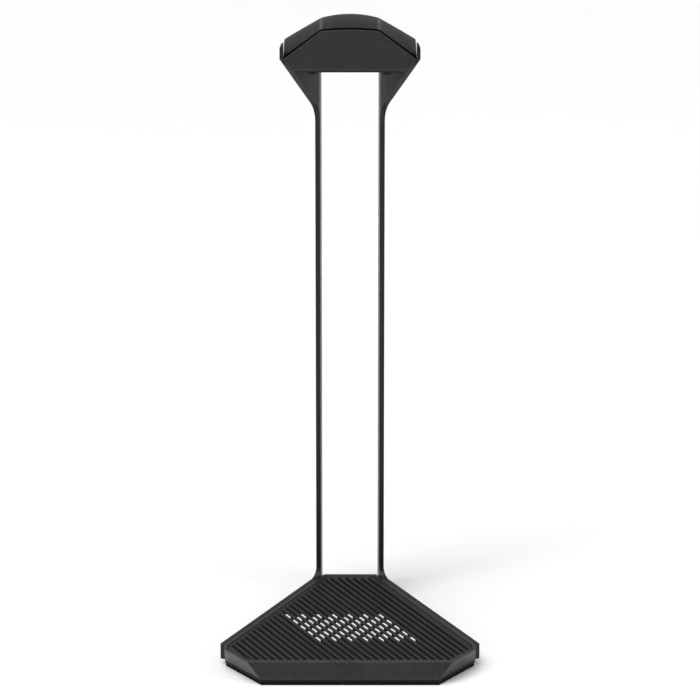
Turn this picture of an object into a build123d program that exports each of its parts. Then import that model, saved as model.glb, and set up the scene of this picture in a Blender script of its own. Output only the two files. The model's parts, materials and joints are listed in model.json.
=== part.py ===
from build123d import *
import math
import os

os.makedirs("parts", exist_ok=True)

# Headphone stand, in millimetres. +Z is up, the front faces -Y and X runs across.
# The origin is on the desk, under the middle of the stand.
# "Ahead" is a distance in front of the uprights' bend line; behind it, ahead is negative.

# ---- Driving dimensions: the two bent side plates ----
overall_depth = 127.0
neck_depth = 14.0
neck_half_width = 15.8
neck_toe = 0.6
sheet = 2.2
wing_angle = math.radians(25.8)
base_wing_length = 97.2
bend_radius = 1.5
bend_line_y = overall_depth / 2 - neck_depth

# ---- Driving dimensions: heights ----
foot_top = 1.8
floor_plate_top = 2.8
flange_top = floor_plate_top + sheet
base_top = 10.0
deck_underside = 7.2
crest_z = 9.8
hanger_arm_low = 234.8
neck_top = 264.8
ear_top = 272.3
ear_shelf_z = 263.4
ear_inner_x = 29.56

# ---- Driving dimensions: base ----
base_back = -2.0
base_side_x = 56.3
rim_width = 1.5
deck_gap = 0.4
ledge_width = 2.7
flange_width = 9.0

# ---- Driving dimensions: head, the part that the headband hangs over ----
cover_front = 34.0
cover_sheet = 1.4
head_back = -neck_depth
lean = 0.12
crown_half = 12.9
shoulder_half = 29.5
joint_gap = 0.15

# ---- Driving dimensions: M3 and M2 screws ----
m3_shank = 1.5
m3_head = 2.75
m3_tapped = m3_shank + 0.08
m2_shank = 1.0
m2_head = 2.0
head_height = 1.0
screw_head_z = foot_top - head_height


def at(ahead):
    """y of a place that far in front of the bend line."""
    return bend_line_y - ahead


def inside_wing(ahead, inset):
    """x of a line that runs inside the wing, inset from its inner face."""
    bend_shift = sheet * math.tan(wing_angle / 2)
    face_x = neck_half_width - sheet + (ahead - bend_shift) * math.tan(wing_angle)
    return face_x - inset / math.cos(wing_angle)


def mirrored(right_points):
    """A closed outline from its right half, listed from the back to the front."""
    return right_points + [(-x, y) for x, y in reversed(right_points)]


def face_of(points):
    """Filled polygon inside the current sketch."""
    with BuildLine() as edge:
        Polyline(*points, close=True)
    make_face(edge.edges())


def save(builder, name):
    """Label a finished piece and write it."""
    builder.part.label = name
    export_step(builder.part, "parts/" + name + ".step")


# ---------------------------------------------------------------- side plates


def plan_strip(gap=0.0):
    """The right-hand sheet seen from above: the upright, toed in a little, then the wing."""
    half_bend = math.tan(wing_angle / 2)
    outer_x = neck_half_width + gap
    inner_x = neck_half_width - sheet - gap
    outer_bend = (outer_x, at(-gap * half_bend))
    inner_bend = (inner_x, at((sheet + gap) * half_bend))
    reach = base_wing_length + gap
    thickness = sheet + 2 * gap
    run_x, run_y = math.sin(wing_angle), math.cos(wing_angle)
    outer_tip = (outer_bend[0] + reach * run_x, outer_bend[1] - reach * run_y)
    inner_tip = (outer_tip[0] - thickness * run_y, outer_tip[1] - thickness * run_x)
    back = overall_depth / 2 + gap
    back_edge = [(outer_x - neck_toe, back), (inner_x - neck_toe, back)]
    face_of([back_edge[0], outer_bend, outer_tip, inner_tip, inner_bend, back_edge[1]])
    corners = vertices().sort_by(lambda v: (Vector(v) - Vector(*outer_bend)).length)
    fillet(corners[0], radius=bend_radius)
    corners = vertices().sort_by(lambda v: (Vector(v) - Vector(*inner_bend)).length)
    fillet(corners[0], radius=bend_radius + sheet)


def side_outline(gap=0.0):
    """The sheet seen from the side: upright, low wing along the base, high wing with its ear."""
    shoulder_z = 254.4
    head_inner_back = at(-9.6)
    ear_ahead = 27.6
    tip_ahead = 32.0
    arm_tip_z = 265.3
    arm_corner = (at(0), hanger_arm_low)
    foot_corner = (at(0), base_top)
    ear_corner = (at(tip_ahead), ear_top)
    past_wing = at(base_wing_length)
    points = [
        (overall_depth / 2, floor_plate_top),
        (overall_depth / 2, shoulder_z),
        (head_inner_back, shoulder_z),
        (head_inner_back, neck_top),
        (at(0), neck_top),
        (at(19.4), 262.0),
        (at(ear_ahead), 263.1),
        (at(ear_ahead), ear_top),
        ear_corner,
        (at(tip_ahead), arm_tip_z),
        arm_corner,
        foot_corner,
        (past_wing, base_top),
        (past_wing, floor_plate_top),
    ]
    face_of(points)
    for corner, radius in ((arm_corner, 14.0), (foot_corner, 5.0), (ear_corner, 3.0)):
        place = Vector(*corner)
        nearest = vertices().sort_by(lambda v: (Vector(v) - place).length)[0]
        fillet(nearest, radius=radius)
    if gap > 0:
        offset(amount=gap)


def sheet_blank(gap=0.0):
    """The right-hand bent sheet as a solid, made thicker all round by the gap."""
    with BuildSketch(Plane.XY) as plan:
        plan_strip(gap)
    extrude(plan.sketch, amount=ear_top + 10)
    with BuildSketch(Plane.YZ) as side:
        side_outline(gap)
    extrude(side.sketch, amount=base_side_x + 10, mode=Mode.INTERSECT)
    # Above the pad's underside only a thin ear is left, outside the pad's end
    with BuildSketch(Plane.XY.offset(ear_shelf_z + gap)) as beside_ear:
        with Locations((0, at(30.0))):
            Rectangle(2 * (ear_inner_x - gap), 8.0)
    extrude(beside_ear.sketch, amount=20, mode=Mode.SUBTRACT)


flange_screw_ahead = (20.0, 50.0, 80.0)
flange_spots = [(inside_wing(a, flange_width / 2), at(a)) for a in flange_screw_ahead]
neck_flange_spot = (7.0, at(-7.4))
neck_flange_gap = 0.8
neck_flange_length = 10.2
bolt_ahead = -3.6
bolt_z = 259.6

with BuildPart() as right_side_plate:
    sheet_blank()
    # Flange folded in under the base, and a short one between the uprights
    with BuildSketch(Plane.XY.offset(floor_plate_top)):
        face_of([
            (inside_wing(10, -sheet / 2), at(10)),
            (inside_wing(84, -sheet / 2), at(84)),
            (inside_wing(84, flange_width), at(84)),
            (inside_wing(18, flange_width), at(18)),
            (inside_wing(10, 2.0), at(10)),
        ])
        with Locations(((neck_half_width - sheet / 2 + neck_flange_gap) / 2, neck_flange_spot[1])):
            Rectangle(neck_half_width - sheet / 2 - neck_flange_gap, neck_flange_length)
    extrude(amount=sheet)
    with BuildSketch(Plane.XY.offset(floor_plate_top)):
        with Locations(*flange_spots, neck_flange_spot):
            Circle(m3_tapped)
    extrude(amount=sheet, mode=Mode.SUBTRACT)
    with BuildSketch(Plane.YZ):
        with Locations((at(bolt_ahead), bolt_z)):
            Circle(m3_shank + 0.15)
    extrude(amount=neck_half_width + 1, mode=Mode.SUBTRACT)
save(right_side_plate, "right_side_plate")

with BuildPart() as left_side_plate:
    mirror(right_side_plate.part, about=Plane.YZ)
save(left_side_plate, "left_side_plate")

# ---------------------------------------------------------------- base

corner_turn = (base_side_x - inside_wing(0, joint_gap)) / math.tan(wing_angle)
deck_corner = (base_side_x, at(corner_turn))
# The corner facets are flat: their upper and lower edges turn by the same slope
facet_slope = 0.7
top_front = (45.8, at(109.75))
low_front = (39.5, at(113.0))
facet_back_x = base_side_x - 0.25
top_turn = (base_side_x, top_front[1] + (base_side_x - top_front[0]) / facet_slope)
low_turn = (facet_back_x, low_front[1] + (facet_back_x - low_front[0]) / facet_slope)
wing_back = (inside_wing(base_back, joint_gap), at(base_back))
top_side = [wing_back, deck_corner, top_turn]
low_side = [wing_back, (inside_wing(88.3, joint_gap), at(88.3)), low_turn]
top_points = mirrored(top_side + [top_front])
low_points = mirrored(low_side + [low_front])


def deck_face(inset):
    """The base's top outline, moved in all round."""
    face_of(top_points)
    offset(amount=-inset, kind=Kind.INTERSECTION)


tongue_half = neck_half_width - 0.4
tongue_meets_wing = (tongue_half - inside_wing(0, 0)) / math.tan(wing_angle)
tongue = [(tongue_half - neck_toe, at(0.4 - neck_depth)), (tongue_half, at(tongue_meets_wing))]
floor_points = mirrored(tongue + low_side[1:] + [low_front])

housing_spots = [(-38.0, at(98.0)), (38.0, at(98.0)), (0.0, at(101.0)), (0.0, at(15.0))]
deck_spots = [(-20.0, at(101.0)), (20.0, at(101.0)), (-7.0, at(26.0)), (7.0, at(26.0))]
ballast_spots = [(-9.0, at(42.0)), (9.0, at(42.0)), (-27.0, at(82.0)), (27.0, at(82.0))]
boss_radius = 3.6
insert_radius = 2.2
insert_length = 3.6
deck_boss_radius = 2.2
cross_rib_z = 5.2
deck_boss_z = cross_rib_z - 0.1

with BuildPart() as base_housing:
    with BuildSketch(Plane.XY.offset(floor_plate_top)):
        face_of(low_points)
    with BuildSketch(Plane.XY.offset(base_top)):
        face_of(top_points)
    loft(ruled=True)
    # Pocket for the ribbed plate, and the hollow below it
    with BuildSketch(Plane.XY.offset(deck_underside)):
        deck_face(rim_width)
    extrude(amount=base_top, mode=Mode.SUBTRACT)
    with BuildSketch(Plane.XY.offset(floor_plate_top)):
        deck_face(rim_width + ledge_width)
    extrude(amount=deck_underside, mode=Mode.SUBTRACT)
    # Room for the side plates' flanges under the side walls
    with BuildSketch(Plane.XY.offset(floor_plate_top)):
        face_of([
            (inside_wing(9.6, -1.0), at(9.6)),
            (inside_wing(84.4, -1.0), at(84.4)),
            (inside_wing(84.4, flange_width + 0.4), at(84.4)),
            (inside_wing(9.6, flange_width + 0.4), at(9.6)),
        ])
        mirror(about=Plane.YZ)
    extrude(amount=sheet + joint_gap, mode=Mode.SUBTRACT)
    # Cross ribs under the ribbed plate, with holes for its bosses
    for rib_ahead in (101.0, 26.0):
        reach = min(inside_wing(rib_ahead, rim_width + 1), 46.6)
        with BuildSketch(Plane.XY.offset(cross_rib_z)):
            with Locations((0, at(rib_ahead))):
                Rectangle(2 * reach, 7.0)
        extrude(amount=deck_underside - cross_rib_z)
    with BuildSketch(Plane.XY.offset(cross_rib_z)):
        with Locations(*deck_spots):
            Circle(deck_boss_radius + joint_gap)
    extrude(amount=deck_underside - cross_rib_z, mode=Mode.SUBTRACT)
    # Bosses for the floor plate's screws
    with BuildSketch(Plane.XY.offset(floor_plate_top)):
        with Locations(*housing_spots):
            Circle(boss_radius)
        with Locations((0, at(10.0))):
            Rectangle(4.0, 10.0)
        with Locations((0, at(20.0))):
            Rectangle(2.0, 10.0)
    extrude(amount=deck_underside - floor_plate_top)
    with BuildSketch(Plane.XY.offset(floor_plate_top)):
        with Locations(*housing_spots):
            Circle(insert_radius + 0.05)
    extrude(amount=insert_length + 0.3, mode=Mode.SUBTRACT)
save(base_housing, "base_housing")

with BuildPart() as threaded_inserts:
    with BuildSketch(Plane.XY.offset(floor_plate_top + 0.1)):
        with Locations(*housing_spots):
            Circle(insert_radius)
            Circle(m3_tapped, mode=Mode.SUBTRACT)
    extrude(amount=insert_length)
save(threaded_inserts, "threaded_inserts")

# ---------------------------------------------------------------- ribbed deck and its pattern

rib_pitch = 3.2
groove_depth = 1.2
pattern_centre_ahead = 66.0
pattern_valleys = 6
pattern_half_length = 16.5
dash_length = 4.4
dash_step = 8.0
dash_width = 0.8
rib_angle = 90.0 + math.degrees(wing_angle)


def valley(index, along=0.0):
    """A place in a groove, counted from the groove through the middle of the pattern."""
    across = index * rib_pitch / math.cos(wing_angle)
    return (across + along * math.sin(wing_angle), at(pattern_centre_ahead + along * math.cos(wing_angle)))


def pattern_dashes(width):
    """A plain block of short dashes, staggered from valley to valley."""
    for index in range(-pattern_valleys, pattern_valleys + 1):
        for step in range(-3, 4):
            along = (step + 0.5 * (index % 2)) * dash_step
            if abs(along) <= pattern_half_length:
                with Locations(valley(index, along)):
                    SlotOverall(dash_length, width, rotation=rib_angle)


groove_side = Vector(math.cos(wing_angle), math.sin(wing_angle), 0)
groove_run = Vector(math.sin(wing_angle), -math.cos(wing_angle), 0)
groove_plane = Plane(origin=(0, at(pattern_centre_ahead), crest_z), x_dir=groove_side, z_dir=groove_run)
groove_margin = 0.9

with BuildPart() as grooves:
    # Parallel grooves with softened crests, sloped walls and flat floors; the ends ramp up
    with BuildSketch(groove_plane):
        for index in range(-31, 32):
            with Locations((index * rib_pitch, 0)):
                Polygon(
                    (-1.3, 0.2), (-0.75, -0.25), (-0.45, -groove_depth),
                    (0.45, -groove_depth), (0.75, -0.25), (1.3, 0.2), align=None,
                )
    extrude(amount=overall_depth, both=True)
    with BuildSketch(Plane.XY.offset(crest_z + 0.2)):
        deck_face(rim_width + deck_gap + groove_margin)
    extrude(amount=-groove_depth - 0.4, taper=35.0, mode=Mode.INTERSECT)

with BuildPart() as ribbed_top_plate:
    with BuildSketch(Plane.XY.offset(deck_underside)):
        deck_face(rim_width + deck_gap)
    extrude(amount=crest_z - deck_underside)
    add(grooves.part, mode=Mode.SUBTRACT)
    with BuildSketch(Plane.XY.offset(deck_underside)):
        pattern_dashes(dash_width + 0.1)
    extrude(amount=crest_z - deck_underside, mode=Mode.SUBTRACT)
    # Bosses that reach through the housing's cross ribs
    with BuildSketch(Plane.XY.offset(deck_boss_z)):
        with Locations(*deck_spots):
            Circle(deck_boss_radius)
    extrude(amount=deck_underside - deck_boss_z)
    with BuildSketch(Plane.XY.offset(deck_boss_z)):
        with Locations(*deck_spots):
            Circle(m2_shank + 0.05)
    extrude(amount=3.0, mode=Mode.SUBTRACT)
save(ribbed_top_plate, "ribbed_top_plate")

inlay_sheet = 0.8
with BuildPart() as pattern_inlay:
    # A sheet under the ribbed plate, with dashes that stand up in its slots
    with BuildSketch(Plane.XY.offset(deck_underside - inlay_sheet)):
        with Locations((0, at(pattern_centre_ahead))):
            Rectangle(62.0, 42.0)
        fillet(vertices(), radius=3.0)
    extrude(amount=inlay_sheet - 0.05)
    with BuildSketch(Plane.XY.offset(deck_underside - 0.05)):
        pattern_dashes(dash_width)
    extrude(amount=crest_z - 0.25 - deck_underside)
save(pattern_inlay, "pattern_inlay")

# ---------------------------------------------------------------- ballast, floor plate, foot

ballast_top = 6.1
ballast_inset = flange_width + 2.0
with BuildPart() as ballast_plate:
    with BuildSketch(Plane.XY.offset(floor_plate_top)):
        ballast_back = (inside_wing(31, ballast_inset), at(31))
        ballast_front = (inside_wing(92, ballast_inset), at(92))
        face_of(mirrored([ballast_back, ballast_front]))
        fillet(vertices(), radius=2.0)
    extrude(amount=ballast_top - floor_plate_top)
    chamfer(faces().sort_by(Axis.Z)[-1].edges(), length=0.5)
    with BuildSketch(Plane.XY.offset(floor_plate_top)):
        with Locations(*ballast_spots):
            Circle(m3_tapped)
    extrude(amount=ballast_top, mode=Mode.SUBTRACT)
save(ballast_plate, "ballast_plate")

flange_screw_spots = []
for spot_x, spot_y in flange_spots + [neck_flange_spot]:
    flange_screw_spots.append((spot_x, spot_y))
    flange_screw_spots.append((-spot_x, spot_y))
floor_screw_spots = flange_screw_spots + housing_spots + ballast_spots

with BuildPart() as floor_plate:
    with BuildSketch(Plane.XY.offset(foot_top)):
        face_of(floor_points)
        with Locations(*floor_screw_spots):
            Circle(m3_shank + 0.2, mode=Mode.SUBTRACT)
        with Locations(*deck_spots):
            Circle(m2_head + 0.6, mode=Mode.SUBTRACT)
    extrude(amount=floor_plate_top - foot_top)
save(floor_plate, "floor_plate")

with BuildPart() as rubber_foot:
    with BuildSketch():
        face_of(floor_points)
        offset(amount=-0.4, kind=Kind.INTERSECTION)
        with Locations(*floor_screw_spots):
            Circle(m3_head + 0.5, mode=Mode.SUBTRACT)
    extrude(amount=foot_top)
save(rubber_foot, "rubber_foot")


def upward_screws(spots, head_z, head_radius, shank_radius, length):
    """Screws with low heads and hexagon sockets, driven up from below."""
    with BuildSketch(Plane.XY.offset(head_z)) as heads:
        with Locations(*spots):
            Circle(head_radius)
    extrude(heads.sketch, amount=head_height)
    chamfer(faces().sort_by(Axis.Z)[: len(spots)].edges(), length=0.2)
    with BuildSketch(Plane.XY.offset(head_z + head_height)) as shanks:
        with Locations(*spots):
            Circle(shank_radius)
    extrude(shanks.sketch, amount=length)
    with BuildSketch(Plane.XY.offset(head_z)) as sockets:
        with Locations(*spots):
            RegularPolygon(head_radius * 0.45, 6)
    extrude(sockets.sketch, amount=head_height * 0.7, mode=Mode.SUBTRACT)


with BuildPart() as flange_screws:
    upward_screws(flange_screw_spots, screw_head_z, m3_head, m3_shank, flange_top - foot_top - 0.2)
save(flange_screws, "flange_screws")

with BuildPart() as housing_screws:
    upward_screws(housing_spots, screw_head_z, m3_head, m3_shank, 4.4)
save(housing_screws, "housing_screws")

with BuildPart() as ballast_screws:
    upward_screws(ballast_spots, screw_head_z, m3_head, m3_shank, 3.8)
save(ballast_screws, "ballast_screws")

with BuildPart() as deck_screws:
    upward_screws(deck_spots, deck_boss_z - head_height, m2_head + 0.8, m2_shank, 2.7)
save(deck_screws, "deck_screws")

# ---------------------------------------------------------------- head


def head_plane(ahead):
    """Upright plane across the head; the head leans back, so the plane sinks towards the rear."""
    drop = lean * (cover_front - ahead)
    return Plane(origin=(0, at(ahead), -drop), x_dir=(1, 0, 0), z_dir=(0, -1, 0))


def level_plane(ahead, end):
    """Upright plane whose heights are those of the head's end, for holes that run straight back."""
    return Plane(origin=(0, at(ahead), -lean * (cover_front - end)), x_dir=(1, 0, 0), z_dir=(0, -1, 0))


def faceted(top_half, top_z, side_half, side_z, low_half, low_z, rise=0.0):
    """The head's outline from the front: a middle, two sloping facets and an undercut."""
    with BuildLine() as edge:
        if rise > 0:
            ThreePointArc((-top_half, top_z), (0, top_z + rise), (top_half, top_z))
        else:
            Line((-top_half, top_z), (top_half, top_z))
        Polyline(
            (top_half, top_z), (side_half, side_z), (low_half, low_z),
            (-low_half, low_z), (-side_half, side_z), (-top_half, top_z),
        )
    make_face(edge.edges())


def head_slab(front, back, outline, mode=Mode.ADD):
    """The part of the leaning head between two planes, with the given outline."""
    with BuildSketch(head_plane(front)) as near:
        faceted(*outline)
    with BuildSketch(head_plane(back)) as far:
        faceted(*outline)
    loft([near.sketch, far.sketch], ruled=True, mode=mode)


cover_outline = (crown_half, 278.4, shoulder_half, 265.8, 25.9, 260.5, 0.7)
core_outline = (crown_half, 275.6, shoulder_half - 0.1, 264.3, 25.6, 260.7)
hollow_outline = (crown_half - 0.7, 273.4, 25.0, 264.6, 22.6, 250.0)
core_front = cover_front - cover_sheet - joint_gap
core_back = head_back + cover_sheet + joint_gap
hollow_front = core_front - 2.1
hollow_back = core_back + 2.2
cover_boss_length = 1.3
cover_boss_radius = 1.9
front_cover_spots = [(-18.0, 264.5), (18.0, 264.5), (-8.0, 269.5), (8.0, 269.5)]
rear_cover_spots = [(-8.5, 270.4), (8.5, 270.4)]

with BuildPart() as hollow:
    # Space inside the core: between the wings, and between the uprights
    head_slab(hollow_front, hollow_back, hollow_outline)
    with BuildSketch(Plane.XY.offset(240)):
        face_of(mirrored([
            (inside_wing(0, 0), at(hollow_back)),
            (inside_wing(0, 0), at(0)),
            (inside_wing(hollow_front, 0), at(hollow_front)),
        ]))
    extrude(amount=60, mode=Mode.INTERSECT)

with BuildPart() as sheet_slots:
    # The side plates' shape, a little thicker, cut into whatever they pass through
    sheet_blank(0.25)
    mirror(about=Plane.YZ)

core_screw_spots = [(x, at(a)) for x in (-5.0, 5.0) for a in (14.0, 4.5)]
bracket_web_top = 264.4
bracket_sheet = 2.0
bracket_low = 256.9
bracket_depth = 7.8
panel_screw_spots = [(-16.5, at(25.0)), (16.5, at(25.0))]
panel_thickness = 1.5
panel_roof_z = 260.9
panel_boss_z = 260.3

with BuildPart() as hanger_core:
    head_slab(core_front, core_back, core_outline)
    add(hollow.part, mode=Mode.SUBTRACT)
    # Bosses down from the roof to the bracket and to the underside panel
    with BuildSketch(Plane.XY.offset(bracket_web_top)):
        with Locations(*core_screw_spots):
            Circle(3.2)
    extrude(amount=7.0)
    with BuildSketch(Plane.XY.offset(bracket_web_top)):
        with Locations(*core_screw_spots):
            Circle(m3_tapped)
    extrude(amount=5.5, mode=Mode.SUBTRACT)
    with BuildSketch(Plane.XY.offset(panel_boss_z)):
        with Locations(*panel_screw_spots):
            Circle(2.6)
    extrude(amount=9.0)
    with BuildSketch(Plane.XY.offset(panel_boss_z)):
        with Locations(*panel_screw_spots):
            Circle(m2_shank + 0.08)
    extrude(amount=5.0, mode=Mode.SUBTRACT)
    add(sheet_slots.part, mode=Mode.SUBTRACT)
    # Pockets for the bracket bolts' heads
    for side in (Plane.YZ, Plane.YZ.offset(-24)):
        with BuildSketch(side):
            with Locations((at(bolt_ahead), bolt_z)):
                Circle(3.4)
            with Locations((at(bolt_ahead), bolt_z - 6)):
                Rectangle(6.8, 12)
        extrude(amount=24, mode=Mode.SUBTRACT)
    # Holes for the covers' bosses and screws
    for wall, end, inward, spots in (
        (core_front, cover_front, -1, front_cover_spots),
        (core_back, head_back, 1, rear_cover_spots),
    ):
        with BuildSketch(level_plane(wall, end)):
            with Locations(*spots):
                Circle(cover_boss_radius + 0.1)
        extrude(amount=inward * cover_boss_length, mode=Mode.SUBTRACT)
        with BuildSketch(level_plane(wall, end)):
            with Locations(*spots):
                Circle(m2_shank + 0.1)
        extrude(amount=inward * 3.0, mode=Mode.SUBTRACT)
save(hanger_core, "hanger_core")

with BuildPart() as hanger_bracket:
    # Folded steel bridge between the uprights, with a shelf that runs forward under the core
    bracket_half = neck_half_width - sheet - 0.1
    with BuildSketch(Plane.XZ.offset(-at(0))):
        with Locations((0, bracket_web_top)):
            Rectangle(2 * bracket_half, bracket_web_top - bracket_low, align=(Align.CENTER, Align.MAX))
        with Locations((0, bracket_low)):
            Rectangle(
                2 * (bracket_half - bracket_sheet), bracket_web_top - bracket_low - bracket_sheet,
                align=(Align.CENTER, Align.MIN), mode=Mode.SUBTRACT,
            )
    extrude(amount=-bracket_depth)
    with BuildSketch(Plane.XY.offset(bracket_low)):
        side_slope = neck_toe / neck_depth * bracket_depth
        face_of(mirrored([(bracket_half - side_slope, at(-bracket_depth)), (bracket_half, at(0))]))
    extrude(amount=bracket_web_top - bracket_low, mode=Mode.INTERSECT)
    with BuildSketch(Plane.XY.offset(bracket_web_top - bracket_sheet)):
        with Locations((0, at(9.5))):
            Rectangle(2 * bracket_half - 5, 19.0)
    extrude(amount=bracket_sheet)
    with BuildSketch(Plane.XY.offset(bracket_low)):
        with Locations(*core_screw_spots):
            Circle(m3_shank + 0.2)
    extrude(amount=bracket_web_top, mode=Mode.SUBTRACT)
    with BuildSketch(Plane.YZ.offset(-bracket_half)):
        with Locations((at(bolt_ahead), bolt_z)):
            Circle(m3_shank + 0.15)
    extrude(amount=2 * bracket_half, mode=Mode.SUBTRACT)
save(hanger_bracket, "hanger_bracket")

nut_thickness = 2.4
nut_face = neck_half_width - sheet - 0.1 - bracket_sheet
bolt_head_height = 1.8
bolt_head_radius = 2.8

with BuildPart() as bracket_nuts:
    with BuildSketch(Plane.YZ.offset(nut_face - nut_thickness)):
        with Locations((at(bolt_ahead), bolt_z)):
            RegularPolygon(2.75, 6, major_radius=False)
            Circle(m3_tapped, mode=Mode.SUBTRACT)
    extrude(amount=nut_thickness)
    mirror(about=Plane.YZ)
save(bracket_nuts, "bracket_nuts")

with BuildPart() as bracket_bolts:
    with BuildSketch(Plane.YZ.offset(neck_half_width)):
        with Locations((at(bolt_ahead), bolt_z)):
            Circle(bolt_head_radius)
    extrude(amount=bolt_head_height)
    chamfer(faces().sort_by(Axis.X)[-1].edges(), length=0.6)
    with BuildSketch(Plane.YZ.offset(neck_half_width + bolt_head_height)):
        with Locations((at(bolt_ahead), bolt_z)):
            RegularPolygon(1.1, 6)
    extrude(amount=-1.1, mode=Mode.SUBTRACT)
    with BuildSketch(Plane.YZ.offset(neck_half_width)):
        with Locations((at(bolt_ahead), bolt_z)):
            Circle(m3_shank)
    extrude(amount=nut_face - nut_thickness - 0.6 - neck_half_width)
    mirror(about=Plane.YZ)
save(bracket_bolts, "bracket_bolts")

with BuildPart() as core_screws:
    core_head_z = bracket_web_top - bracket_sheet - head_height
    upward_screws(core_screw_spots, core_head_z, m3_head, m3_shank, bracket_sheet + 4.8)
save(core_screws, "core_screws")

with BuildPart() as underside_panel:
    # Closes the head from below, between the wings and the uprights
    for ahead in (hollow_front - 0.3, hollow_back + 0.3):
        with BuildSketch(head_plane(ahead)):
            with Locations((0, panel_roof_z)):
                Rectangle(80, panel_thickness, align=(Align.CENTER, Align.MAX))
    loft(ruled=True)
    with BuildSketch(Plane.XY.offset(240)):
        face_of(mirrored([
            (inside_wing(0, 0) - 0.4, at(hollow_back + 0.3)),
            (inside_wing(0, 0) - 0.4, at(0)),
            (22.3, at(20.5)),
            (22.3, at(hollow_front - 0.3)),
        ]))
        with Locations(*panel_screw_spots):
            Circle(m2_shank + 0.15, mode=Mode.SUBTRACT)
    extrude(amount=40, mode=Mode.INTERSECT)
save(underside_panel, "underside_panel")

# The panel's lowest point under a screw head
panel_screw_z = panel_roof_z - panel_thickness - lean * (cover_front - 23.0) - head_height

with BuildPart() as panel_screws:
    upward_screws(panel_screw_spots, panel_screw_z, m2_head, m2_shank, 5.5)
save(panel_screws, "panel_screws")


def pan_screws(plane, spots, inward):
    """M2 screws with pan heads, driven out through the core's wall into a cover."""
    with BuildSketch(plane) as heads:
        with Locations(*spots):
            Circle(m2_head)
    extrude(heads.sketch, amount=-inward * head_height)
    with BuildSketch(plane) as shanks:
        with Locations(*spots):
            Circle(m2_shank)
    extrude(shanks.sketch, amount=inward * 2.8)


def cover_bosses(plane, spots, outward):
    """Short sockets on a cover's inner face for the screws."""
    with BuildSketch(plane) as sockets:
        with Locations(*spots):
            Circle(cover_boss_radius)
    extrude(sockets.sketch, amount=-outward * cover_boss_length)
    with BuildSketch(plane) as holes:
        with Locations(*spots):
            Circle(m2_shank + 0.05)
    extrude(holes.sketch, amount=-outward * cover_boss_length, mode=Mode.SUBTRACT)
    extrude(holes.sketch, amount=outward * 0.7, mode=Mode.SUBTRACT)


def inset_line(plane, outward):
    """A fine groove that follows the cover's top and sides, set in from the edge."""
    with BuildSketch(plane) as line:
        faceted(*cover_outline)
        offset(amount=-1.3, kind=Kind.INTERSECTION)
        with BuildSketch(mode=Mode.SUBTRACT):
            faceted(*cover_outline)
            offset(amount=-1.75, kind=Kind.INTERSECTION)
        with Locations((0, cover_outline[5])):
            Rectangle(2 * shoulder_half, 4.5, mode=Mode.SUBTRACT)
    extrude(line.sketch, amount=-outward * 0.35, mode=Mode.SUBTRACT)


cover_outer_chamfer = 0.3
cover_low_bevel = 1.0

with BuildPart() as front_cover:
    head_slab(cover_front, cover_front - cover_sheet, cover_outline)
    face_edges = faces().sort_by(Axis.Y)[0].edges().sort_by(Axis.Z)
    chamfer(face_edges[1:], length=cover_outer_chamfer)
    low_edge = faces().sort_by(Axis.Y)[0].edges().sort_by(Axis.Z)[0]
    chamfer(low_edge, length=cover_low_bevel)
    cover_bosses(level_plane(cover_front - cover_sheet, cover_front), front_cover_spots, 1)
    inset_line(head_plane(cover_front), 1)
save(front_cover, "front_cover")

with BuildPart() as rear_cover:
    head_slab(head_back, head_back + cover_sheet, cover_outline)
    chamfer(faces().sort_by(Axis.Y)[-1].edges(), length=cover_outer_chamfer)
    cover_bosses(level_plane(head_back + cover_sheet, head_back), rear_cover_spots, -1)
    inset_line(head_plane(head_back), -1)
save(rear_cover, "rear_cover")

with BuildPart() as cover_screws:
    pan_screws(level_plane(hollow_front, cover_front), front_cover_spots, 1)
    pan_screws(level_plane(hollow_back, head_back), rear_cover_spots, -1)
save(cover_screws, "cover_screws")

# The pad's top swells between its front and rear edges
pad_front = core_front
pad_back = core_back
pad_middle = (pad_front + pad_back) / 2
pad_half = shoulder_half
pad_crease_z = 278.95
pad_middle_z = 279.65
pad_edge_z = 266.5
pad_low_z = 275.7
pad_low_edge_z = 264.4
pad_swells = ((pad_front, 0.0, 0.0, 0.0), (pad_middle, 4.2, 3.0, 5.8), (pad_back, 0.0, 0.0, 0.0))

with BuildPart() as saddle_pad:
    pad_sections = []
    for ahead, middle_swell, crease_swell, edge_swell in pad_swells:
        with BuildSketch(head_plane(ahead)) as section:
            with BuildLine() as edge:
                crease_z = pad_crease_z + crease_swell
                edge_z = pad_edge_z + edge_swell
                middle_z = pad_middle_z + middle_swell
                ThreePointArc((-crown_half, crease_z), (0, middle_z), (crown_half, crease_z))
                Polyline(
                    (crown_half, crease_z), (pad_half, edge_z), (pad_half, pad_low_edge_z),
                    (crown_half, pad_low_z), (-crown_half, pad_low_z), (-pad_half, pad_low_edge_z),
                    (-pad_half, edge_z), (-crown_half, crease_z),
                )
            make_face(edge.edges())
        pad_sections.append(section.sketch)
    loft(pad_sections)
save(saddle_pad, "saddle_pad")
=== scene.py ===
import json
import math

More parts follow.
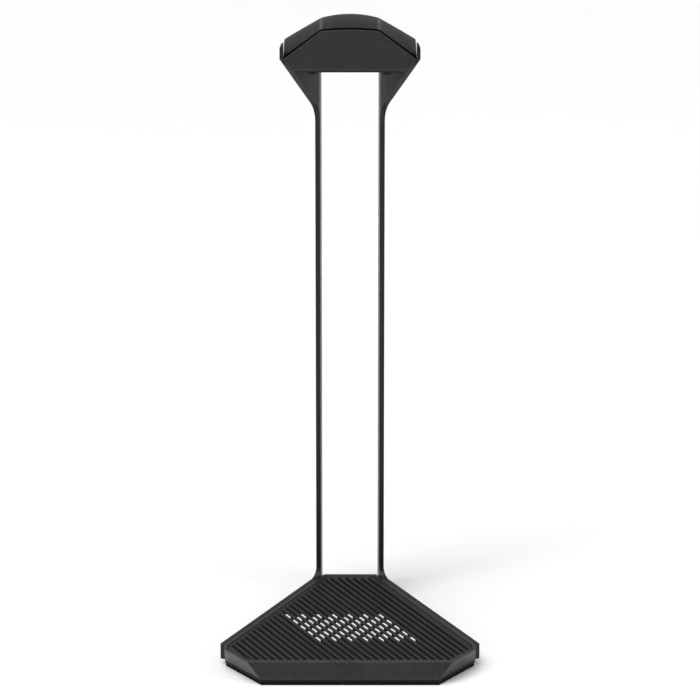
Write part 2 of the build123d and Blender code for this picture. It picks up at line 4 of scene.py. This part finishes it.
import bmesh
import bpy
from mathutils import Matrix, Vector


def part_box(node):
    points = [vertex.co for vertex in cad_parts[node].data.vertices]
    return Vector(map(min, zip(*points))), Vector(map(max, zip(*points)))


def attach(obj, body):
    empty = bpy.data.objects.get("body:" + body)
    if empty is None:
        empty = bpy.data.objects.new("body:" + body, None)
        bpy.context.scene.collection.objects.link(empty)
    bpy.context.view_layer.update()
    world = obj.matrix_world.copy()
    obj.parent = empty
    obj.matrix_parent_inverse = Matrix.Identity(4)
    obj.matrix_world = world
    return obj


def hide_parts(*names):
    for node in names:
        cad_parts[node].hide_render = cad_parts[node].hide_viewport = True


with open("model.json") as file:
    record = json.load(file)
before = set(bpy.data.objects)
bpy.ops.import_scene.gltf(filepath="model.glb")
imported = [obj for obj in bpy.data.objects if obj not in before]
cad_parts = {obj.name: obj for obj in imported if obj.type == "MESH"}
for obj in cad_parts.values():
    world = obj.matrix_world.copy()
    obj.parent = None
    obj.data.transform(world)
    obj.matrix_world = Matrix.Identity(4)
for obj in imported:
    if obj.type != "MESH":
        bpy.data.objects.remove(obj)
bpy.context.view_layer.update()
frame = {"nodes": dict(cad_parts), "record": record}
nodes = frame["nodes"]

MM = 0.001

# Places of the colour sockets on a Mix node
MIX_FIRST, MIX_SECOND, MIX_RESULT = 6, 7, 2

# The pad's box, and what its mesh and its material share
pad_low, pad_high = (Vector(corner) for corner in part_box("saddle_pad"))
PAD_HALF = pad_high.x
PAD_FRONT = pad_low.y
PAD_BACK = pad_high.y
CREASE_HALF = 12.9 * MM
# Width of the painted highlight along each crease of the pad
CREASE_HIGHLIGHT_WIDTH = 1.2 * MM
# Width of the painted shadow in the seam at each end of the pad
SEAM_SHADOW_WIDTH = 1.1 * MM
PAD_SHINE = 0.35


# ---------------------------------------------------------------- node helpers


class Graph:
    """A material's node tree, with short calls to add and join nodes."""

    def __init__(self, name):
        self.material = bpy.data.materials.new(name)
        self.material.use_nodes = True
        self.tree = self.material.node_tree
        self.shader = self.tree.nodes["Principled BSDF"]
        self.place = self.add("ShaderNodeTexCoord").outputs["Object"]

    def add(self, kind, **values):
        node = self.tree.nodes.new(kind)
        for key, value in values.items():
            if hasattr(node, key):
                setattr(node, key, value)
            else:
                node.inputs[key.replace("_", " ").title()].default_value = value
        return node

    def join(self, source, target):
        self.tree.links.new(source, target)

    def noise(self, scale, detail=3.0, roughness=0.55, stretch=None):
        node = self.add("ShaderNodeTexNoise", scale=scale, detail=detail, roughness=roughness)
        if stretch:
            mapping = self.add("ShaderNodeMapping")
            mapping.inputs["Scale"].default_value = stretch
            self.join(self.place, mapping.inputs["Vector"])
            self.join(mapping.outputs["Vector"], node.inputs["Vector"])
        else:
            self.join(self.place, node.inputs["Vector"])
        return node.outputs["Fac"]

    def cells(self, scale, feature="SMOOTH_F1", randomness=1.0):
        node = self.add("ShaderNodeTexVoronoi", feature=feature, scale=scale, randomness=randomness)
        self.join(self.place, node.inputs["Vector"])
        return node.outputs["Distance"]

    def spread(self, value, low, high, from_low=0.0, from_high=1.0):
        node = self.add("ShaderNodeMapRange")
        node.inputs["From Min"].default_value = from_low
        node.inputs["From Max"].default_value = from_high
        node.inputs["To Min"].default_value = low
        node.inputs["To Max"].default_value = high
        self.join(value, node.inputs["Value"])
        return node.outputs["Result"]

    def mix(self, factor, first, second):
        node = self.add("ShaderNodeMix", data_type="RGBA")
        self.join(factor, node.inputs["Factor"])
        for index, colour in ((MIX_FIRST, first), (MIX_SECOND, second)):
            if isinstance(colour, (tuple, list)):
                node.inputs[index].default_value = (*colour, 1.0)
            else:
                self.join(colour, node.inputs[index])
        return node.outputs[MIX_RESULT]

    def math(self, operation, first, second=0.0):
        node = self.add("ShaderNodeMath", operation=operation)
        for index, value in enumerate((first, second)):
            if isinstance(value, (int, float)):
                node.inputs[index].default_value = value
            else:
                self.join(value, node.inputs[index])
        return node.outputs["Value"]

    def axes(self, *names):
        """The named coordinates of the point that is being coloured."""
        split = self.add("ShaderNodeSeparateXYZ")
        self.join(self.place, split.inputs["Vector"])
        return [split.outputs[name] for name in names]

    def edges(self, radius, low=0.02, high=0.25):
        """Mask of the sharp edges, and the normal with those edges rounded over."""
        bevel = self.add("ShaderNodeBevel", samples=6)
        bevel.inputs["Radius"].default_value = radius
        geometry = self.add("ShaderNodeNewGeometry")
        turn = self.add("ShaderNodeVectorMath", operation="DOT_PRODUCT")
        self.join(bevel.outputs["Normal"], turn.inputs[0])
        self.join(geometry.outputs["Normal"], turn.inputs[1])
        sharp = self.math("SUBTRACT", 1.0, turn.outputs["Value"])
        return self.spread(sharp, 0.0, 1.0, low, high), bevel.outputs["Normal"]

    def bump(self, height, strength, distance, normal=None):
        node = self.add("ShaderNodeBump")
        node.inputs["Strength"].default_value = strength
        node.inputs["Distance"].default_value = distance
        self.join(height, node.inputs["Height"])
        if normal:
            self.join(normal, node.inputs["Normal"])
        return node.outputs["Normal"]

    def finish(self, colour, roughness, normal, metallic=0.0, **sockets):
        self.join(colour, self.shader.inputs["Base Color"])
        self.join(roughness, self.shader.inputs["Roughness"])
        self.join(normal, self.shader.inputs["Normal"])
        self.shader.inputs["Metallic"].default_value = metallic
        for name, value in sockets.items():
            self.shader.inputs[name.replace("_", " ")].default_value = value
        return self.material


def coated(name, dark, light, wear_and_highlight_colour, roughness, grain, relief, edge_radius, wear_and_highlight_amount=0.5, shine=0.5):
    """A painted or moulded surface: mottled colour, fine grain, paler edges that are edge wear plus a
    painted highlight.
    """
    graph = Graph(name)
    clouds = graph.noise(90.0, 4.0)
    body = graph.mix(graph.spread(clouds, 0.0, 1.0, 0.3, 0.7), dark, light)
    sharp, rounded = graph.edges(edge_radius)
    # The edges are painted paler towards the edge colour: partly edge wear, partly a painted highlight along
    # the edges.
    patches = graph.spread(graph.noise(420.0, 5.0, 0.65), 0.15, 1.0, 0.35, 0.65)
    wear_and_painted_highlight = graph.math("MULTIPLY", graph.math("MULTIPLY", sharp, patches), wear_and_highlight_amount)
    colour = graph.mix(wear_and_painted_highlight, body, wear_and_highlight_colour)
    fine = graph.noise(grain, 2.0, 0.5)
    pits = graph.cells(grain * 0.45)
    surface = graph.math("ADD", fine, graph.math("MULTIPLY", pits, 0.6))
    gloss = graph.spread(graph.noise(260.0, 4.0), roughness - 0.05, roughness + 0.06, 0.3, 0.7)
    normal = graph.bump(surface, relief, 0.12 * MM, rounded)
    return graph.finish(colour, gloss, normal, Specular_IOR_Level=shine)


def black_metal():
    # The pale edge colour at full strength paints highlights along the edges of the arms and ears, on top of
    # edge wear.
    return coated(
        "black_powder_coat", (0.006, 0.006, 0.006), (0.009, 0.009, 0.009), (0.2, 0.2, 0.2),
        roughness=0.4, grain=2600.0, relief=0.35,
        edge_radius=0.3 * MM, wear_and_highlight_amount=1.0, shine=0.28,
    )


def base_black():
    return coated(
        "base_paint", (0.013, 0.013, 0.0135), (0.018, 0.018, 0.0185), (0.15, 0.15, 0.15),
        roughness=0.36, grain=3000.0, relief=0.22,
        edge_radius=0.4 * MM, wear_and_highlight_amount=0.9, shine=0.4,
    )


def cover_plastic():
    # The pale edge colour paints a highlight along the cover's edges and lower bevel, on top of edge wear.
    return coated(
        "cover_satin", (0.016, 0.016, 0.015), (0.02, 0.02, 0.0188), (0.14, 0.14, 0.135),
        roughness=0.5, grain=4200.0, relief=0.16,
        edge_radius=0.35 * MM, wear_and_highlight_amount=0.9, shine=0.22,
    )


def core_plastic():
    return coated(
        "core_spark_texture", (0.008, 0.008, 0.008), (0.012, 0.012, 0.012), (0.03, 0.03, 0.03),
        roughness=0.6, grain=1500.0, relief=0.5,
        edge_radius=0.3 * MM, wear_and_highlight_amount=0.3, shine=0.3,
    )


def ribbed_rubber():
    return coated(
        "ribbed_soft_touch", (0.006, 0.006, 0.006), (0.01, 0.01, 0.01), (0.05, 0.05, 0.05),
        roughness=0.45, grain=2200.0, relief=0.3,
        edge_radius=0.25 * MM, wear_and_highlight_amount=0.6, shine=0.4,
    )


def foot_rubber():
    return coated(
        "foot_rubber", (0.003, 0.003, 0.003), (0.005, 0.005, 0.005), (0.012, 0.012, 0.012),
        roughness=0.75, grain=1800.0, relief=0.5,
        edge_radius=0.25 * MM, wear_and_highlight_amount=0.3, shine=0.1,
    )


def white_inlay():
    graph = Graph("white_inlay")
    clouds = graph.spread(graph.noise(300.0), 0.0, 1.0, 0.3, 0.7)
    body = graph.mix(clouds, (0.86, 0.86, 0.85), (0.93, 0.93, 0.93))
    sharp, rounded = graph.edges(0.15 * MM)
    colour = graph.mix(graph.math("MULTIPLY", sharp, 0.25), body, (0.7, 0.7, 0.7))
    gloss = graph.spread(graph.noise(500.0), 0.4, 0.5)
    return graph.finish(colour, gloss, graph.bump(graph.noise(2500.0), 0.1, 0.05 * MM, rounded))


def metal(name, dark, light, roughness, stretch):
    """Bare metal with fine lines along one direction and duller patches."""
    graph = Graph(name)
    lines = graph.noise(700.0, 6.0, 0.7, stretch)
    body = graph.mix(graph.spread(lines, 0.0, 1.0, 0.3, 0.7), dark, light)
    sharp, rounded = graph.edges(0.2 * MM)
    colour = graph.mix(graph.math("MULTIPLY", sharp, 0.4), body, tuple(min(1.0, c * 1.4) for c in light))
    gloss = graph.spread(graph.noise(160.0, 5.0), roughness - 0.08, roughness + 0.1, 0.3, 0.7)
    return graph.finish(colour, gloss, graph.bump(lines, 0.15, 0.03 * MM, rounded), 1.0)


def plain_steel():
    dark, light = (0.36, 0.36, 0.37), (0.48, 0.48, 0.49)
    return metal("rolled_steel", dark, light, roughness=0.42, stretch=(1.0, 0.05, 1.0))


def black_steel():
    return coated(
        "black_electrocoat", (0.004, 0.004, 0.004), (0.007, 0.007, 0.007), (0.03, 0.03, 0.03),
        roughness=0.45, grain=2400.0, relief=0.15,
        edge_radius=0.2 * MM, wear_and_highlight_amount=0.4, shine=0.15,
    )


def zinc_steel():
    return metal("zinc_plate", (0.5, 0.5, 0.5), (0.64, 0.64, 0.63), roughness=0.32, stretch=(1.0, 1.0, 0.2))


def insert_brass():
    return metal("turned_brass", (0.6, 0.43, 0.18), (0.78, 0.6, 0.3), roughness=0.3, stretch=(0.1, 0.1, 1.0))


def pad_rubber():
    """Grained black pad: pebbled cells, a painted highlight along the creases between its panels, painted
    shadow in the seams at both ends.
    """
    graph = Graph("pad_leather_grain")
    warp = graph.noise(500.0, 3.0)
    pebbles = graph.cells(1150.0, "SMOOTH_F1", 0.95)
    creases = graph.cells(620.0, "DISTANCE_TO_EDGE", 1.0)
    valley = graph.spread(creases, 0.0, 1.0, 0.0, 0.12)
    height = graph.math("ADD", graph.math("MULTIPLY", pebbles, -0.8), graph.math("MULTIPLY", valley, 0.5))
    height = graph.math("ADD", height, graph.math("MULTIPLY", warp, 0.35))
    tone = graph.spread(graph.noise(70.0, 5.0), 0.0, 1.0, 0.3, 0.7)
    body = graph.mix(tone, (0.007, 0.007, 0.0071), (0.013, 0.013, 0.0132))
    colour = graph.mix(graph.spread(pebbles, 1.0, 0.0, 0.1, 0.6), (0.007, 0.007, 0.0071), body)
    across_place, along_place = graph.axes("X", "Y")
    side_place = graph.math("ABSOLUTE", across_place)
    from_crease = graph.math("ABSOLUTE", graph.math("SUBTRACT", side_place, CREASE_HALF))
    # Painted highlight: a pale band painted along each crease, with random strength
    wear_and_painted_highlight = graph.spread(from_crease, 1.0, 0.0, 0.0, CREASE_HIGHLIGHT_WIDTH)
    wear_and_painted_highlight = graph.math("MULTIPLY", wear_and_painted_highlight, graph.spread(graph.noise(300.0, 4.0), 0.3, 0.9, 0.3, 0.7))
    colour = graph.mix(wear_and_painted_highlight, colour, (0.12, 0.12, 0.12))
    middle = (PAD_FRONT + PAD_BACK) / 2
    from_middle = graph.math("ABSOLUTE", graph.math("SUBTRACT", along_place, middle))
    half_depth = (PAD_BACK - PAD_FRONT) / 2
    # Painted shadow: near-black colour and no specular in a band at the front and back ends, standing for
    # the shade in the gap beside the cover
    outside_painted_seam_shadow = graph.spread(from_middle, 1.0, 0.0, half_depth - SEAM_SHADOW_WIDTH, half_depth - 0.3 * SEAM_SHADOW_WIDTH)
    colour = graph.mix(outside_painted_seam_shadow, (0.0012, 0.0012, 0.0012), colour)
    graph.join(graph.math("MULTIPLY", outside_painted_seam_shadow, PAD_SHINE), graph.shader.inputs["Specular IOR Level"])
    gloss = graph.spread(graph.noise(900.0, 3.0), 0.38, 0.52, 0.3, 0.7)
    return graph.finish(colour, gloss, graph.bump(height, 0.7, 0.25 * MM))


def pale_floor():
    graph = Graph("pale_floor")
    colour = graph.mix(graph.spread(graph.noise(3.0), 0.0, 1.0), (0.95, 0.95, 0.95), (0.97, 0.97, 0.97))
    gloss = graph.spread(graph.noise(40.0), 0.6, 0.7)
    return graph.finish(colour, gloss, graph.bump(graph.noise(200.0), 0.02, MM))


FINISHES = {
    "black_metal": black_metal,
    "base_black": base_black,
    "ribbed_rubber": ribbed_rubber,
    "white_inlay": white_inlay,
    "plain_steel": plain_steel,
    "black_steel": black_steel,
    "zinc_steel": zinc_steel,
    "insert_brass": insert_brass,
    "foot_rubber": foot_rubber,
    "core_plastic": core_plastic,
    "cover_plastic": cover_plastic,
    "pad_rubber": pad_rubber,
}
materials = {slot: make() for slot, make in FINISHES.items()}
for part in frame["record"]["subparts"]:
    piece = nodes[part["node"]]
    piece.data.materials.clear()
    piece.data.materials.append(materials[part["material_slot"]])


# ---------------------------------------------------------------- saddle pad


LEAN = 0.12
CREASE_SOFTNESS = 0.4 * MM
CREASE_STEPS = (-1.0, -0.5, 0.0, 0.5, 1.0)
PAD_EDGE_RADIUS = 0.6 * MM
FRONT_PLANE_GAP = 1.6 * MM
TOP_MIDDLE, TOP_CREASE, TOP_EDGE = 279.65 * MM, 278.95 * MM, 266.5 * MM
SWELL_MIDDLE, SWELL_CREASE, SWELL_EDGE = 4.2 * MM, 3.0 * MM, 5.8 * MM
PANEL_PUFF = 0.15 * MM
PAD_SHARP_ANGLE = math.radians(40.0)
PAD_COLUMNS, PAD_ROWS = 56, 36
BOTTOM_CREASE, BOTTOM_EDGE = 275.75 * MM, 264.45 * MM


def lean_drop(y):
    """How far the leaning head has sunk at a depth, measured from its front cover."""
    return LEAN * (y - PAD_FRONT + FRONT_PLANE_GAP)


def across(x, middle, crease, edge):
    """Height over the width: a rounded middle panel, then a straight side facet."""
    x = abs(x)
    if x < CREASE_HALF:
        share = x / CREASE_HALF
        return middle + (crease - middle) * share * share
    return crease + (edge - crease) * (x - CREASE_HALF) / (PAD_HALF - CREASE_HALF)


def softened(x, middle, crease, edge):
    """The same height with the crease rounded over."""
    heights = [across(x + CREASE_SOFTNESS * s, middle, crease, edge) for s in CREASE_STEPS]
    return sum(heights) / len(CREASE_STEPS)


def pad_top(x, y):
    depth = (y - PAD_FRONT) / (PAD_BACK - PAD_FRONT)
    swell = 1.0 - (2.0 * depth - 1.0) ** 2
    side = max(0.0, (abs(x) - CREASE_HALF) / (PAD_HALF - CREASE_HALF))
    puff = PANEL_PUFF * math.sin(math.pi * min(1.0, side)) * swell
    height = softened(
        x,
        TOP_MIDDLE + SWELL_MIDDLE * swell,
        TOP_CREASE + SWELL_CREASE * swell,
        TOP_EDGE + SWELL_EDGE * swell,
    )
    return height + puff - lean_drop(y)


def pad_bottom(x, y):
    return across(x, BOTTOM_CREASE, BOTTOM_CREASE, BOTTOM_EDGE) - lean_drop(y)


def stations(low, high, count, radius):
    """Positions from edge to edge, close together where the edges are rounded."""
    turns = 6
    near = [radius * (1 - math.cos(math.radians(90 * k / turns))) for k in range(turns)]
    inner = [radius + (high - low - 2 * radius) * k / count for k in range(count + 1)]
    far = [high - low - n for n in reversed(near)]
    return [low + p for p in near + inner + far]


def with_creases(positions):
    """The same positions, with a close group of five over each crease instead of the nearby ones."""
    spread = [CREASE_SOFTNESS * s for s in CREASE_STEPS]
    kept = [x for x in positions if abs(abs(x) - CREASE_HALF) > 2 * CREASE_SOFTNESS]
    added = [side * CREASE_HALF + s for side in (-1, 1) for s in spread]
    return sorted(kept + added)


def edge_drop(gap):
    """How far the rounded edge has fallen, this near to the side."""
    if gap >= PAD_EDGE_RADIUS:
        return 0.0
    inside = PAD_EDGE_RADIUS - gap
    return PAD_EDGE_RADIUS - math.sqrt(max(0.0, PAD_EDGE_RADIUS**2 - inside**2))


def make_pad():
    mesh = bmesh.new()
    xs = with_creases(stations(-PAD_HALF, PAD_HALF, PAD_COLUMNS, PAD_EDGE_RADIUS))
    ys = stations(PAD_FRONT, PAD_BACK, PAD_ROWS, PAD_EDGE_RADIUS)
    top, bottom = [], []
    for x in xs:
        side_gap = PAD_HALF - abs(x)
        upper, lower = [], []
        for y in ys:
            end_gap = min(y - PAD_FRONT, PAD_BACK - y)
            drop = min(edge_drop(side_gap) + edge_drop(end_gap), PAD_EDGE_RADIUS)
            upper.append(mesh.verts.new((x, y, pad_top(x, y) - drop)))
            lower.append(mesh.verts.new((x, y, pad_bottom(x, y))))
        top.append(upper)
        bottom.append(lower)
    last_x, last_y = len(xs) - 1, len(ys) - 1
    for i in range(last_x):
        for j in range(last_y):
            mesh.faces.new((top[i][j], top[i + 1][j], top[i + 1][j + 1], top[i][j + 1]))
            mesh.faces.new((bottom[i][j], bottom[i][j + 1], bottom[i + 1][j + 1], bottom[i + 1][j]))
    for i in range(last_x):
        mesh.faces.new((top[i][0], bottom[i][0], bottom[i + 1][0], top[i + 1][0]))
        mesh.faces.new((top[i + 1][last_y], bottom[i + 1][last_y], bottom[i][last_y], top[i][last_y]))
    for j in range(last_y):
        mesh.faces.new((top[0][j + 1], bottom[0][j + 1], bottom[0][j], top[0][j]))
        mesh.faces.new((top[last_x][j], bottom[last_x][j], bottom[last_x][j + 1], top[last_x][j + 1]))
    bmesh.ops.recalc_face_normals(mesh, faces=mesh.faces)
    data = bpy.data.meshes.new("grained_pad")
    mesh.to_mesh(data)
    mesh.free()
    data.shade_smooth()
    data.set_sharp_from_angle(angle=PAD_SHARP_ANGLE)
    pad = bpy.data.objects.new("grained_pad", data)
    bpy.context.collection.objects.link(pad)
    data.materials.append(materials["pad_rubber"])
    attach(pad, "root")
    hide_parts("saddle_pad")


make_pad()


# ---------------------------------------------------------------- floor, light and camera


FLOOR_SIZE = 6.0
FILL_LIGHT = 0.4
BACKDROP_LIGHT = 1.0
LAMP_TARGET = (0.0, 0.0, 0.15)
LAMP_SIZE = (0.5, 0.9)
NECK_DEPTH = 14.0 * MM
LOOK_HEIGHT = 120.9 * MM
CAMERA_PITCH = math.radians(17.0)
CAMERA_DISTANCE = 1.8
CAMERA_LENS = 200.5


def make_floor():
    bpy.ops.mesh.primitive_plane_add(size=FLOOR_SIZE, location=(0, 0, 0))
    floor = bpy.context.object
    floor.name = "floor"
    floor.data.materials.append(pale_floor())


def area_light(name, place, power):
    data = bpy.data.lights.new(name, "AREA")
    data.shape = "RECTANGLE"
    data.size, data.size_y = LAMP_SIZE
    data.energy = power
    lamp = bpy.data.objects.new(name, data)
    lamp.location = place
    lamp.rotation_euler = (Vector(LAMP_TARGET) - Vector(place)).to_track_quat("-Z", "Y").to_euler()
    bpy.context.collection.objects.link(lamp)


def sun_light(name, place, strength, spread):
    """A broad distant light, so that the floor is evenly lit."""
    data = bpy.data.lights.new(name, "SUN")
    data.energy = strength
    data.angle = math.radians(spread)
    lamp = bpy.data.objects.new(name, data)
    lamp.rotation_euler = Vector(place).to_track_quat("Z", "Y").to_euler()
    bpy.context.collection.objects.link(lamp)


def make_world():
    world = bpy.data.worlds.new("studio")
    world.use_nodes = True
    tree = world.node_tree
    sky = tree.nodes["Background"]
    sky.inputs["Color"].default_value = (1.0, 1.0, 1.0, 1.0)
    rays = tree.nodes.new("ShaderNodeLightPath")
    strength = tree.nodes.new("ShaderNodeMapRange")
    strength.inputs["To Min"].default_value = FILL_LIGHT
    strength.inputs["To Max"].default_value = BACKDROP_LIGHT
    tree.links.new(rays.outputs["Is Camera Ray"], strength.inputs["Value"])
    tree.links.new(strength.outputs["Result"], sky.inputs["Strength"])
    bpy.context.scene.world = world
    bpy.context.scene.view_settings.view_transform = "Standard"


def make_camera():
    bend_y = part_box("right_side_plate")[1][1] - NECK_DEPTH
    target = Vector((0.0, bend_y, LOOK_HEIGHT))
    backwards = Vector((0.0, -math.cos(CAMERA_PITCH), math.sin(CAMERA_PITCH)))
    data = bpy.data.cameras.new("camera")
    data.sensor_width = 36.0
    data.lens = CAMERA_LENS
    data.clip_end = 20.0
    camera = bpy.data.objects.new("camera", data)
    camera.location = target + CAMERA_DISTANCE * backwards
    camera.rotation_euler = (math.pi / 2 - CAMERA_PITCH, 0.0, 0.0)
    bpy.context.collection.objects.link(camera)
    bpy.context.scene.camera = camera


make_floor()
make_world()
sun_light("overhead", place=(-0.25, -0.3, 1.0), strength=2.15, spread=50.0)
area_light("front_left", place=(-1.3, -0.9, 0.5), power=7.0)
area_light("front_right", place=(1.4, -0.7, 0.5), power=7.0)
make_camera()
